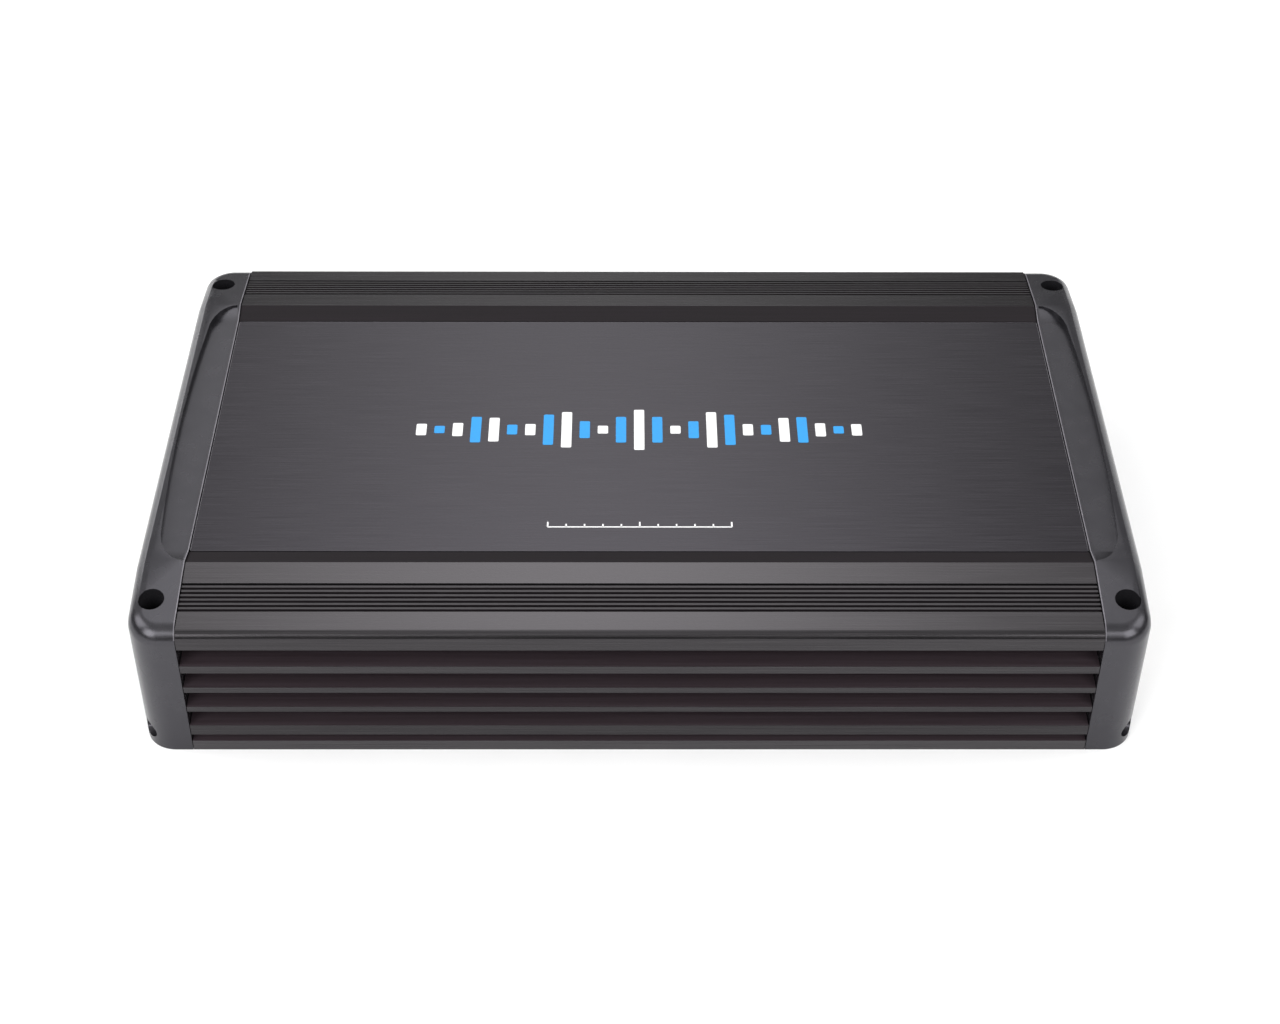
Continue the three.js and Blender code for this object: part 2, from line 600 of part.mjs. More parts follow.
// Barrier strip: a moulded block with one open bay and one screw for each pole.
function terminalBlockGeometry(poles) {
  const half = blockWidth(poles) / 2;
  let block = boxSolid(SOCKET_BACK, TERMINAL_FACE, -half, half, ON_BOARD, TERMINAL_TOP);
  const bayHalf = (TERMINAL_PITCH - TERMINAL_BARRIER) / 2;
  for (const y of poleOffsets(poles)) {
    block = block.subtract(boxSolid(
      TERMINAL_FLOOR, TERMINAL_FACE + 1, y - bayHalf, y + bayHalf,
      ON_BOARD + TERMINAL_BARRIER, TERMINAL_TOP + 1));
    block = block.subtract(toSolid(rodX(
      TERMINAL_SCREW_SHANK + 2 * CLEAR, SOCKET_BACK + 3, TERMINAL_FLOOR + 1, y, TERMINAL_CENTRE, 12)));
  }
  return toGeometry(block);
}

function addTerminals(end, name, poles, y, labels) {
  const block = named(`${name}_terminal_block`, terminalBlockGeometry(poles), blackPlastic);
  block.position.y = y;
  end.add(block);
  poleOffsets(poles).forEach((offset, i) => {
    const geometry = screwGeometry(
      TERMINAL_SCREW_HEAD, TERMINAL_SCREW_HEAD_HEIGHT, TERMINAL_SCREW_SHANK, TERMINAL_SCREW_LENGTH);
    const screw = named(`${labels[i]}_terminal_screw`, geometry, zincSteel);
    screw.position.set(TERMINAL_FLOOR + SEAT, y + offset, TERMINAL_CENTRE);
    end.add(screw);
  });
}

const FUSE_HOLDER_FACE = PLATE_OUTER + FUSE_HOLDER_PROUD;
const FUSE_BACK = FUSE_HOLDER_FACE - FUSE_SEAT;
const FUSE_CENTRE = ON_BOARD + FUSE_HOLDER_HEIGHT / 2;
const FUSE_BLADE_OFFSET = FUSE_HEIGHT / 2 - FUSE_BLADE_INSET;

function fuseHolderWidth() {
  return FUSES * FUSE_PITCH + 2;
}

function fuseOffsets() {
  return Array.from({ length: FUSES }, (_, i) => (i - (FUSES - 1) / 2) * FUSE_PITCH);
}

function fuseHolderGeometry() {
  const half = fuseHolderWidth() / 2;
  let holder = boxSolid(
    SOCKET_BACK, FUSE_HOLDER_FACE, -half, half, ON_BOARD, FUSE_HOLDER_TOP);
  for (const y of fuseOffsets()) {
    const seatHalf = FUSE_THICKNESS / 2 + CLEAR;
    const tall = FUSE_HEIGHT / 2 + CLEAR;
    holder = holder.subtract(boxSolid(
      FUSE_BACK - SEAT, FUSE_HOLDER_FACE + 1, y - seatHalf, y + seatHalf,
      FUSE_CENTRE - tall, FUSE_CENTRE + tall));
    for (const side of [-1, 1]) {
      const z = FUSE_CENTRE + side * FUSE_BLADE_OFFSET;
      const bladeHalf = FUSE_BLADE_WIDTH / 2 + CLEAR;
      const thin = FUSE_BLADE_THICKNESS / 2 + CLEAR;
      holder = holder.subtract(boxSolid(
        FUSE_BACK - FUSE_BLADE - 1, FUSE_BACK + 1, y - thin, y + thin, z - bladeHalf, z + bladeHalf));
    }
  }
  return toGeometry(holder);
}

// Blade fuse: a stepped plastic head and two blades that point to -X.
function fuseGeometry() {
  const tall = FUSE_HEIGHT / 2;
  const half = FUSE_THICKNESS / 2;
  const step = FUSE_SEAT + 3;
  let fuse = boxSolid(0, step, -half + 0.5, half - 0.5, -tall + 0.8, tall - 0.8);
  fuse = fuse.add(boxSolid(step - 1, FUSE_HEAD, -half, half, -tall, tall));
  for (const side of [-1, 1]) {
    const z = side * FUSE_BLADE_OFFSET;
    const thin = FUSE_BLADE_THICKNESS / 2;
    const wide = FUSE_BLADE_WIDTH / 2;
    fuse = fuse.add(boxSolid(-FUSE_BLADE, 1, -thin, thin, z - wide, z + wide));
  }
  return toGeometry(fuse);
}

function addFuses(end, y) {
  const holder = named('fuse_holder', fuseHolderGeometry(), blackPlastic);
  holder.position.y = y;
  end.add(holder);
  fuseOffsets().forEach((offset, i) => {
    const fuse = named(`fuse_${i + 1}`, fuseGeometry(), fuseAmber);
    fuse.position.set(FUSE_BACK, y + offset, FUSE_CENTRE);
    end.add(fuse);
  });
}

function powerEnd() {
  const end = new THREE.Group();
  const widths = [blockWidth(SPEAKER_POLES), fuseHolderWidth(), blockWidth(POWER_POLES)];
  const [speakerY, fuseY, powerY] = spreadAcross(widths);
  const openings = [
    plateBox(speakerY, ON_BOARD, TERMINAL_TOP, widths[0]),
    plateBox(fuseY, ON_BOARD, FUSE_HOLDER_TOP, widths[1]),
    plateBox(powerY, ON_BOARD, TERMINAL_TOP, widths[2]),
  ];
  end.add(named('left_end_cap', endCapGeometry(), castCap));
  end.add(named('power_end_plate', endPlateGeometry(openings), blackSteel));
  addCapScrews(end, 'left');
  addTerminals(end, 'speaker', SPEAKER_POLES, speakerY, ['speaker_minus', 'speaker_plus']);
  addFuses(end, fuseY);
  addTerminals(end, 'power', POWER_POLES, powerY, ['ground', 'remote', 'battery']);
  end.rotation.z = Math.PI;
  return end;
}

// ---------------------------------------------------------------- signal end

const KNOB_BACK = PLATE_OUTER + KNOB_GAP;
const POT_FRONT = BEHIND_PLATE;
const POT_BACK = POT_FRONT - POT_SIZE;

// A solid standing on the board by thin legs at the given sideways offsets.
function withLegs(solid, x, offsets, under) {
  let standing = solid;
  for (const y of offsets) {
    standing = standing.add(boxSolid(
      x - LEG_WIDTH / 2, x + LEG_WIDTH / 2, y - LEG_WIDTH / 2, y + LEG_WIDTH / 2, ON_BOARD, under + 0.5));
  }
  return standing;
}

function potGeometry() {
  const half = POT_SIZE / 2;
  const under = CONTROL_HEIGHT - half;
  let pot = boxSolid(POT_BACK, POT_FRONT, -half, half, under, CONTROL_HEIGHT + half);
  pot = withLegs(pot, POT_FRONT - half, [-half / 2, 0, half / 2], under);
  const bore = rodX(
    KNOB_SHAFT + 2 * CLEAR, POT_BACK + POT_FLOOR, POT_FRONT + 1, 0, CONTROL_HEIGHT, 12);
  return toGeometry(pot.subtract(toSolid(bore)));
}

// Fluted knob with a pointer slot in its face, on a shaft that runs into the potentiometer.
function knobGeometry() {
  const outline = [];
  for (let i = 0; i < 3 * KNOB_FLUTES; i++) {
    const angle = (i / (3 * KNOB_FLUTES)) * 2 * Math.PI;
    const radius = KNOB_DIAMETER / 2 - (i % 3 === 0 ? 0.5 : 0);
    outline.push(new THREE.Vector2(radius * Math.cos(angle), radius * Math.sin(angle)));
  }
  let knob = toSolid(sweepX(new THREE.Shape(outline), 0, KNOB_LENGTH));
  const shaftEnd = POT_BACK + POT_FLOOR + CLEAR - KNOB_BACK;
  knob = knob.add(toSolid(rodX(KNOB_SHAFT, shaftEnd, 0.5, 0, 0, 12)));
  const slotDepth = 1;
  knob = knob.subtract(boxSolid(
    KNOB_LENGTH - slotDepth, KNOB_LENGTH + 1, -0.6, 0.6, -0.5, KNOB_DIAMETER / 2 + 1));
  return toGeometry(knob);
}

function addControl(end, name, y) {
  const pot = named(`${name}_potentiometer`, potGeometry(), blackPlastic);
  pot.position.y = y;
  const knob = named(`${name}_knob`, knobGeometry(), blackPlastic);
  knob.position.set(KNOB_BACK, y, CONTROL_HEIGHT);
  end.add(pot, knob);
}

function switchBodyGeometry() {
  const half = SWITCH_WIDTH / 2;
  const under = CONTROL_HEIGHT - SWITCH_HEIGHT / 2;
  const slotFloor = BEHIND_PLATE - SWITCH_SLOT_DEPTH;
  let body = boxSolid(
    BEHIND_PLATE - SWITCH_DEPTH, BEHIND_PLATE, -half, half, under, under + SWITCH_HEIGHT);
  body = withLegs(body, slotFloor, [-half / 2, 0, half / 2], under);
  const slotHalf = (SWITCH_NUB + SWITCH_TRAVEL) / 2 + CLEAR;
  const tall = SWITCH_NUB / 2 + CLEAR;
  return toGeometry(body.subtract(boxSolid(
    slotFloor, BEHIND_PLATE + 1, -slotHalf, slotHalf,
    CONTROL_HEIGHT - tall, CONTROL_HEIGHT + tall)));
}

// The switch's slider: a ribbed nub, at rest at the -Y end of its slot.
function switchSliderGeometry() {
  const half = SWITCH_NUB / 2;
  const back = BEHIND_PLATE - SWITCH_SLOT_DEPTH + CLEAR;
  const tip = PLATE_OUTER + SWITCH_PROUD;
  const groove = 0.6;
  let slider = boxSolid(back, tip, -half, half, -half, half);
  for (const y of [-SWITCH_NUB / 4, SWITCH_NUB / 4]) {
    slider = slider.subtract(boxSolid(
      tip - groove, tip + 1, y - groove / 2, y + groove / 2, -half - 1, half + 1));
  }
  return toGeometry(slider);
}

const JACK_CENTRE = CONTROL_HEIGHT;
const JACK_FACE = PLATE_OUTER + JACK_PROUD;
const JACK_BLOCK_WIDTH = 2 * JACK_PITCH + JACK_MARGIN;
const JACK_CORE = JACK_SLEEVE - 2 * JACK_SLEEVE_WALL - 2 * CLEAR;

function jackBlockGeometry() {
  const half = JACK_BLOCK_WIDTH / 2;
  let block = boxSolid(SOCKET_BACK, JACK_FACE, -half, half, ON_BOARD, JACK_TOP);
  for (const side of [-1, 1]) {
    const y = side * JACK_PITCH / 2;
    block = block.add(toSolid(rodX(
      JACK_CORE, JACK_FACE - 1, JACK_FACE + JACK_LENGTH - 0.5, y, JACK_CENTRE, 14)));
    block = block.subtract(toSolid(rodX(
      JACK_PIN_HOLE, JACK_FACE - 4, JACK_FACE + JACK_LENGTH + 1, y, JACK_CENTRE, 10)));
  }
  return toGeometry(block);
}

// Metal outer contact of a jack: a thin tube with a small collar at its root.
function jackSleeveGeometry() {
  const outer = JACK_SLEEVE / 2;
  const inner = outer - JACK_SLEEVE_WALL;
  const collar = 1.2;
  const profile = [
    [0, inner], [0, outer + collar], [1, outer + collar], [1.2, outer],
    [JACK_LENGTH - 0.4, outer], [JACK_LENGTH, outer - 0.3], [JACK_LENGTH, inner], [0, inner],
  ];
  return turnedX(profile, 16);
}

function portGeometry() {
  const half = PORT_WIDTH / 2;
  const face = PLATE_OUTER + PORT_PROUD;
  const middle = ON_BOARD + PORT_HEIGHT / 2;
  const block = boxSolid(SOCKET_BACK, face, -half, half, ON_BOARD, PORT_TOP);
  return toGeometry(block.subtract(boxSolid(
    face - PORT_MOUTH_DEPTH, face + 1, -PORT_MOUTH_WIDTH / 2, PORT_MOUTH_WIDTH / 2,
    middle - PORT_MOUTH_HEIGHT / 2, middle + PORT_MOUTH_HEIGHT / 2)));
}

// A lamp: flange, straight body and domed tip along +X, with its lead down to the board.
function lampGeometry() {
  const radius = LAMP_DIAMETER / 2;
  const back = BEHIND_PLATE - 3;
  const tip = PLATE_OUTER + LAMP_PROUD;
  const profile = [[back, 0], [back, radius + 0.4], [back + 1, radius + 0.4], [back + 1, radius]];
  const steps = 3;
  for (let i = 0; i <= steps; i++) {
    const angle = (i / steps) * Math.PI / 2;
    profile.push([tip - radius + radius * Math.sin(angle), i === steps ? 0 : radius * Math.cos(angle)]);
  }
  const lens = toSolid(turnedX(profile, 10).translate(0, 0, CONTROL_HEIGHT));
  const lead = boxSolid(back - 1, back + 0.5, -0.5, 0.5, ON_BOARD, CONTROL_HEIGHT);
  return toGeometry(lens.add(lead));
}

function signalEnd() {
  const end = new THREE.Group();
  const controls = ['level', 'low_pass', 'subsonic', 'bass_boost'];
  const widths = [
    JACK_BLOCK_WIDTH, ...controls.map(() => KNOB_DIAMETER), SWITCH_WIDTH, PORT_WIDTH,
    LAMP_SPACING + LAMP_DIAMETER,
  ];
  const middles = spreadAcross(widths);
  const jackY = middles[0];
  const [switchY, portY, lampY] = middles.slice(-3);
  const lampMiddles = [lampY - LAMP_SPACING / 2, lampY + LAMP_SPACING / 2];
  const slotWidth = SWITCH_NUB + SWITCH_TRAVEL;
  const nubLow = CONTROL_HEIGHT - SWITCH_NUB / 2;
  const openings = [
    plateBox(jackY, ON_BOARD, JACK_TOP, JACK_BLOCK_WIDTH),
    plateBox(switchY, nubLow, nubLow + SWITCH_NUB, slotWidth),
    plateBox(portY, ON_BOARD, PORT_TOP, PORT_WIDTH),
    ...lampMiddles.map((y) => plateHole(y, CONTROL_HEIGHT, LAMP_DIAMETER)),
    ...controls.map((_, i) => plateHole(middles[i + 1], CONTROL_HEIGHT, KNOB_SHAFT)),
  ];
  end.add(named('right_end_cap', endCapGeometry(), castCap));
  end.add(named('signal_end_plate', endPlateGeometry(openings), blackSteel));
  addCapScrews(end, 'right');

  const jacks = named('input_jack_block', jackBlockGeometry(), blackPlastic);
  jacks.position.y = jackY;
  end.add(jacks);
  for (const side of [-1, 1]) {
    const sleeve = named(`input_jack_sleeve_${side < 0 ? 1 : 2}`, jackSleeveGeometry(), goldPlate);
    sleeve.position.set(JACK_FACE + SEAT, jackY + side * JACK_PITCH / 2, JACK_CENTRE);
    end.add(sleeve);
  }
  controls.forEach((name, i) => addControl(end, name, middles[i + 1]));

  const body = named('phase_switch_body', switchBodyGeometry(), blackPlastic);
  body.position.y = switchY;
  const slider = named('phase_switch_slider', switchSliderGeometry(), blackPlastic);
  slider.position.set(0, switchY - SWITCH_TRAVEL / 2, CONTROL_HEIGHT);
  const port = named('remote_port', portGeometry(), blackPlastic);
  port.position.y = portY;
  const powerLamp = named('power_lamp', lampGeometry(), lampGreen);
  const protectLamp = named('protect_lamp', lampGeometry(), lampRed);
  powerLamp.position.y = lampMiddles[0];
  protectLamp.position.y = lampMiddles[1];
  end.add(body, slider, port, powerLamp, protectLamp);
  return end;
}

// ---------------------------------------------------------------- inside

function boardGeometry() {
  const halfWidth = WALL_INNER - CLEAR;
  return box(-BOARD_HALF_LENGTH, BOARD_HALF_LENGTH, -halfWidth, halfWidth, BOARD_HEIGHT, BOARD_TOP);
}

// Wound ring standing on the board: the outside is ribbed by the turns of wire.
function toroidGeometry(diameter, bore, height, turns) {
  const outer = diameter / 2;
  const inner = bore / 2;
  const round = Math.min(height, outer - inner) * 0.28;
  const profile = [
    [inner, round], [inner + round, 0], [outer - round, 0], [outer, round],
    [outer, height - round], [outer - round, height], [inner + round, height], [inner, height - round],
    [inner, round],
  ].map(([radius, z]) => new THREE.Vector2(radius, z));
  const sides = turns * 2;
  const geometry = new THREE.LatheGeometry(profile, sides).rotateX(Math.PI / 2);
  const position = geometry.attributes.position;
  const step = (2 * Math.PI) / sides;
  const ribDepth = 0.8;
  const middle = height / 2;
  for (let i = 0; i < position.count; i++) {
    const x = position.getX(i);
    const y = position.getY(i);
    const turn = Math.round(Math.atan2(y, x) / step);
    if (Math.abs(turn % 2) === 1) {
      const radius = Math.hypot(x, y);
      const outwards = radius > (inner + outer) / 2 ? -ribDepth : ribDepth * 0.5;
      const scale = (radius + outwards) / radius;
      const z = middle + (position.getZ(i) - middle) * (1 - ribDepth / middle);
      position.setXYZ(i, x * scale, y * scale, z);
    }
  }
  return geometry.translate(0, 0, ON_BOARD);
}

// Electrolytic can: rolled groove near the foot, rounded shoulder and a shallow dished top.
function canGeometry() {
  const radius = CAN_DIAMETER / 2;
  const profile = [
    [0, 0], [radius, 0], [radius, 3], [radius - 1, 3.8], [radius, 4.6],
    [radius, CAN_HEIGHT - 1.5], [radius - 1.5, CAN_HEIGHT], [radius - 3, CAN_HEIGHT],
    [radius - 3.4, CAN_HEIGHT - 0.6], [0, CAN_HEIGHT - 0.6],
  ].map(([r, z]) => new THREE.Vector2(r, z));
  return new THREE.LatheGeometry(profile, 16).rotateX(Math.PI / 2).translate(0, 0, ON_BOARD);
}

const DEVICE_OUTER = WALL_INNER - PAD_THICKNESS - 2 * SEAT;
const DEVICE_INNER = DEVICE_OUTER - DEVICE_THICKNESS;
const DEVICE_LOW = ON_BOARD + DEVICE_LIFT;
const DEVICE_TOP = SCREW_PORT_UNDER - DEVICE_HEADROOM;

// Power transistor: resin body with a fixing hole and three leads; its back is towards +Y.
function deviceGeometry() {
  const half = DEVICE_WIDTH / 2;
  let device = boxSolid(-half, half, DEVICE_INNER, DEVICE_OUTER, DEVICE_LOW, DEVICE_TOP);
  const chamfer = 2;
  device = device.subtract(boxSolid(
    -half - 1, half + 1, DEVICE_INNER - 1, DEVICE_INNER + chamfer,
    DEVICE_TOP - chamfer, DEVICE_TOP + 1));
  const lead = 0.6;
  for (const x of [-half / 2, 0, half / 2]) {
    device = device.add(boxSolid(
      x - lead, x + lead, DEVICE_INNER + 1, DEVICE_INNER + 1 + lead, ON_BOARD, DEVICE_LOW + 1));
  }
  return toGeometry(device);
}

function padGeometry() {
  const half = DEVICE_SPREAD + DEVICE_WIDTH / 2 + 2;
  const outer = WALL_INNER - SEAT;
  return box(-half, half, outer - PAD_THICKNESS, outer, DEVICE_LOW, DEVICE_TOP);
}

// Clamp: a flat bar across the transistors, with its two ends turned back to the wall.
function clampGeometry() {
  const half = DEVICE_SPREAD + CLAMP_OVERHANG;
  const face = DEVICE_INNER - SEAT;
  const low = DEVICE_LOW + 4;
  let bar = boxSolid(-half, half, face - CLAMP_THICKNESS, face, low, low + CLAMP_WIDTH);
  for (const end of [-1, 1]) {
    const limits = [end * half, end * (half - CLAMP_THICKNESS)].sort((a, b) => a - b);
    bar = bar.add(boxSolid(...limits, face - CLAMP_THICKNESS, WALL_INNER - SEAT, low, low + CLAMP_WIDTH));
  }
  return toGeometry(bar);
}

function insides() {
  const group = new THREE.Group();
  group.add(named('main_circuit_board', boardGeometry(), fibreBoard));
  const transformer = toroidGeometry(TRANSFORMER_DIAMETER, TRANSFORMER_BORE, TRANSFORMER_HEIGHT, 14);
  const transformerMesh = named('power_transformer', transformer, ferriteWinding);
  transformerMesh.position.x = -CAN_DIAMETER - TRANSFORMER_DIAMETER / 2 - WINDING_GAP;
  const inductor = toroidGeometry(INDUCTOR_DIAMETER, INDUCTOR_BORE, INDUCTOR_HEIGHT, 10);
  const inductorMesh = named('output_inductor', inductor, ferriteWinding);
  inductorMesh.position.x = CAN_DIAMETER + INDUCTOR_DIAMETER / 2 + WINDING_GAP;
  group.add(transformerMesh, inductorMesh);
  for (let i = 0; i < 3; i++) {
    const can = named(`capacitor_${i + 1}`, canGeometry(), canSleeve);
    can.position.y = (i - 1) * CAN_SPACING;
    group.add(can);
  }
  for (const [wall, turn] of [['front', Math.PI], ['rear', 0]]) {
    const side = new THREE.Group();
    side.add(named(`${wall}_thermal_pad`, padGeometry(), greyPad));
    side.add(named(`${wall}_clamp_bar`, clampGeometry(), zincSteel));
    for (const place of [-1, 1]) {
      const device = named(`${wall}_transistor_${place < 0 ? 1 : 2}`, deviceGeometry(), deviceResin);
      device.position.x = place * DEVICE_SPREAD;
      side.add(device);
    }
    side.rotation.z = turn;
    group.add(side);
  }
  return group;
}

// ---------------------------------------------------------------- whole amplifier

const amplifier = new THREE.Group();
amplifier.add(named('heatsink', heatsinkGeometry(), anodised));
amplifier.add(named('top_panel', topPanelGeometry(), brushedPlate));
amplifier.add(named('bottom_cover', bottomCoverGeometry(), blackSteel));
coverScrewSpots().forEach(([x, y], i) => {
  const geometry = screwGeometry(COVER_SCREW_HEAD, COVER_RECESS - 2 * SEAT, CAP_SCREW_SHANK, 5, 10);
  const screw = named(`bottom_cover_screw_${i + 1}`, geometry, zincSteel);
  screw.rotation.y = Math.PI / 2;
  screw.position.set(x, y, COVER_RECESS - SEAT);
  amplifier.add(screw);
});
amplifier.add(powerEnd(), signalEnd(), insides());

export default amplifier;
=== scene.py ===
"""Car audio amplifier: looks for the extruded body, its cast end caps, terminals and controls."""
import json
from math import cos, pi, radians, sin

import bpy
from mathutils import Matrix, Vector


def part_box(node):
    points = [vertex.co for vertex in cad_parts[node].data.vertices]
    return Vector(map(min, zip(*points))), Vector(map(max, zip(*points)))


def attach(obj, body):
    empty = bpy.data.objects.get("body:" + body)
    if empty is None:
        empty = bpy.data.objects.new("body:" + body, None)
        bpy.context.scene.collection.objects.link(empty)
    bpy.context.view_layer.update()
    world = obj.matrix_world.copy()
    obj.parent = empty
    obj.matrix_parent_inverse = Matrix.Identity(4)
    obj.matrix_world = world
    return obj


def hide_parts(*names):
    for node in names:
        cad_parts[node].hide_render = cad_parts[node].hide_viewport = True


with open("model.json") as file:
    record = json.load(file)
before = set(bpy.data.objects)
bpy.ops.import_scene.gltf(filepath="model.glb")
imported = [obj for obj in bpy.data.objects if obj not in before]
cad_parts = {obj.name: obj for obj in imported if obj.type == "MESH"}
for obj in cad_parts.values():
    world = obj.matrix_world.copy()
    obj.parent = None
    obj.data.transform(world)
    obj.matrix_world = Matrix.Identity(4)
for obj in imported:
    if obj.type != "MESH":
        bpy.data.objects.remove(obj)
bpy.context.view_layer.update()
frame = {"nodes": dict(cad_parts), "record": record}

MM = 0.001
NODES = frame["nodes"]
RECORD = frame["record"]
BODY_OF = {node: body for body, nodes in RECORD["behaviour"]["bodies"].items() for node in nodes}
SLOT_OF = {row["node"]: row["material_slot"] for row in RECORD["subparts"]}


# ------------------------------------------------------------------ camera, floor and light

CAMERA_PLACE = (-0.00439, -0.58356, 0.52452)
CAMERA_PITCH = radians(41.08)  # downwards
CAMERA_YAW = radians(0.474)
CAMERA_ROLL = radians(0.345)

SOFTBOXES = (  # name, place, point it faces, size, power in watts
    ("rear_left_softbox", (-1.4, 1.7, 0.5), (0, 0, 0), (1.0, 0.8), 9),
    ("rear_right_softbox", (1.4, 1.7, 0.5), (0, 0, 0), (1.0, 0.8), 2.5),
    ("left_softbox", (-1.7, 0, 1.5), (0, 0, 0), (1.2, 1.2), 18),
    ("right_softbox", (1.7, 0, 1.5), (0, 0, 0), (1.2, 1.2), 14),
    ("front_left_softbox", (-1.3, -1.7, 1.4), (0, -0.3, 0), (1.4, 1.4), 38),
    ("front_right_softbox", (1.3, -1.7, 1.4), (0, -0.3, 0), (1.4, 1.4), 32),
)

# The surroundings by height: the sine of the height angle, and how bright they are there.
SKY_BANDS = (
    (0.0, 0.5), (0.32, 0.5), (0.52, 1.7), (0.66, 2.4), (0.8, 4.5), (0.9, 4.5), (0.96, 2), (1.0, 1.4))
BRIGHTEST = max(light for _, light in SKY_BANDS)
SKY_FRONT, SKY_BACK = -0.5, 0.15  # along Y: dimmest up to the first, at its full from the second
SKY_OFF_CENTRE = 0.02  # how far the brightest part lies to the left
SKY_SPREAD = 0.25  # along X from there, to where it is dimmest
SKY_MIDDLE_SHARE, SKY_SIDE_SHARE = 1.25, 0.2

FLOOR_SIZE = 12


def add_camera():
    """Looks down at the front from just left of the middle."""
    pitch, yaw, roll = CAMERA_PITCH, CAMERA_YAW, CAMERA_ROLL
    forward = Vector((sin(yaw) * cos(pitch), cos(yaw) * cos(pitch), -sin(pitch)))
    level = Vector((cos(yaw), -sin(yaw), 0))
    upward = level.cross(forward)
    right = level * cos(roll) + upward * sin(roll)
    up = upward * cos(roll) - level * sin(roll)
    data = bpy.data.cameras.new("camera")
    data.sensor_width = 36
    data.lens = 63.8
    camera = bpy.data.objects.new("camera", data)
    turn = Matrix((right, up, -forward)).transposed().to_4x4()
    camera.matrix_world = Matrix.Translation(CAMERA_PLACE) @ turn
    bpy.context.collection.objects.link(camera)
    bpy.context.scene.camera = camera


def add_floor():
    bpy.ops.object.select_all(action="DESELECT")
    bpy.ops.mesh.primitive_plane_add(size=FLOOR_SIZE)
    floor = bpy.context.object
    floor.name = "floor"
    floor.data.materials.append(floor_paper())


def add_lights():
    for name, place, aim, size, power in SOFTBOXES:
        data = bpy.data.lights.new(name, "AREA")
        data.shape = "RECTANGLE"
        data.size, data.size_y = size
        data.energy = power
        lamp = bpy.data.objects.new(name, data)
        lamp.location = place
        lamp.rotation_euler = (Vector(aim) - Vector(place)).to_track_quat("-Z", "Y").to_euler()
        bpy.context.collection.objects.link(lamp)


def add_world():
    """Grey surroundings, lightest high up behind the product, dimmer to the sides and the front."""
    world = bpy.data.worlds.new("studio")
    world.use_nodes = True
    tree = world.node_tree
    way = add(tree, "ShaderNodeTexCoord").outputs["Generated"]
    parts = add(tree, "ShaderNodeSeparateXYZ", {"Vector": way}).outputs
    ramp = add(tree, "ShaderNodeValToRGB", {"Fac": parts["Z"]})
    stops = ramp.color_ramp.elements
    for i, (height, light) in enumerate(SKY_BANDS):
        stop = stops[i] if i < 2 else stops.new(height)
        stop.position = height
        stop.color = (light / BRIGHTEST,) * 3 + (1,)
    behind = add(tree, "ShaderNodeMapRange", {
        "Value": parts["Y"], "From Min": SKY_FRONT, "From Max": SKY_BACK,
        "To Min": 1, "To Max": BRIGHTEST})
    off_centre = add(tree, "ShaderNodeMath", {0: parts["X"], 1: SKY_OFF_CENTRE}, operation="ADD")
    aside = add(tree, "ShaderNodeMath", {0: off_centre.outputs["Value"]}, operation="ABSOLUTE")
    middle = add(tree, "ShaderNodeMapRange", {
        "Value": aside.outputs["Value"], "From Min": 0, "From Max": SKY_SPREAD,
        "To Min": SKY_MIDDLE_SHARE, "To Max": SKY_SIDE_SHARE},
        interpolation_type="SMOOTHSTEP")
    strength = add(tree, "ShaderNodeMath", {
        0: behind.outputs["Result"], 1: middle.outputs["Result"]}, operation="MULTIPLY")
    background = tree.nodes["Background"]
    tree.links.new(ramp.outputs["Color"], background.inputs["Color"])
    tree.links.new(strength.outputs["Value"], background.inputs["Strength"])
    bpy.context.scene.world = world


# ------------------------------------------------------------------ small tools

def linear(hex_colour):
    """An sRGB hex colour as linear RGBA."""
    channels = [int(hex_colour[i:i + 2], 16) / 255 for i in (1, 3, 5)]
    return [c / 12.92 if c <= 0.04045 else ((c + 0.055) / 1.055) ** 2.4 for c in channels] + [1]


def add(tree, kind, inputs=(), **settings):
    """Adds a node: settings are its properties, inputs its sockets' values or what is linked to them."""
    made = tree.nodes.new(kind)
    for name, value in settings.items():
        setattr(made, name, value)
    for socket, value in dict(inputs).items():
        if isinstance(value, bpy.types.NodeSocket):
            tree.links.new(value, made.inputs[socket])
        else:
            made.inputs[socket].default_value = value
    return made


def make_active(piece):
    bpy.ops.object.select_all(action="DESELECT")
    piece.select_set(True)
    bpy.context.view_layer.objects.active = piece


def bevel(piece, width, angle=30):
    """Breaks every edge sharper than angle, in degrees, with a round of width."""
    make_active(piece)
    modifier = piece.modifiers.new("edge_round", "BEVEL")
    modifier.width = width
    modifier.segments = 2
    modifier.limit_method = "ANGLE"
    modifier.angle_limit = radians(angle)
    bpy.ops.object.modifier_apply(modifier=modifier.name)


def smooth(piece, angle=30):
    """Smooths over edges blunter than angle, in degrees, and keeps the large flat faces flat."""
    make_active(piece)
    bpy.ops.object.shade_smooth_by_angle(angle=radians(angle))
    modifier = piece.modifiers.new("flat_faces", "WEIGHTED_NORMAL")
    modifier.mode = "FACE_AREA"
    modifier.weight = 100
    modifier.keep_sharp = True
    bpy.ops.object.modifier_apply(modifier=modifier.name)


def merged_copy(node, *materials):
    """A copy of a CAD node with its loose triangles joined up and its flat faces made whole."""
    piece = bpy.data.objects.new(node + "_finished", NODES[node].data.copy())
    bpy.context.collection.objects.link(piece)
    piece.data.materials.clear()
    for material in materials:
        piece.data.materials.append(material)
    make_active(piece)
    bpy.ops.object.mode_set(mode="EDIT")
    bpy.ops.mesh.select_all(action="SELECT")
    bpy.ops.mesh.remove_doubles(threshold=0.002 * MM)
    bpy.ops.mesh.dissolve_limited(angle_limit=radians(0.3))
    bpy.ops.object.mode_set(mode="OBJECT")
    return piece


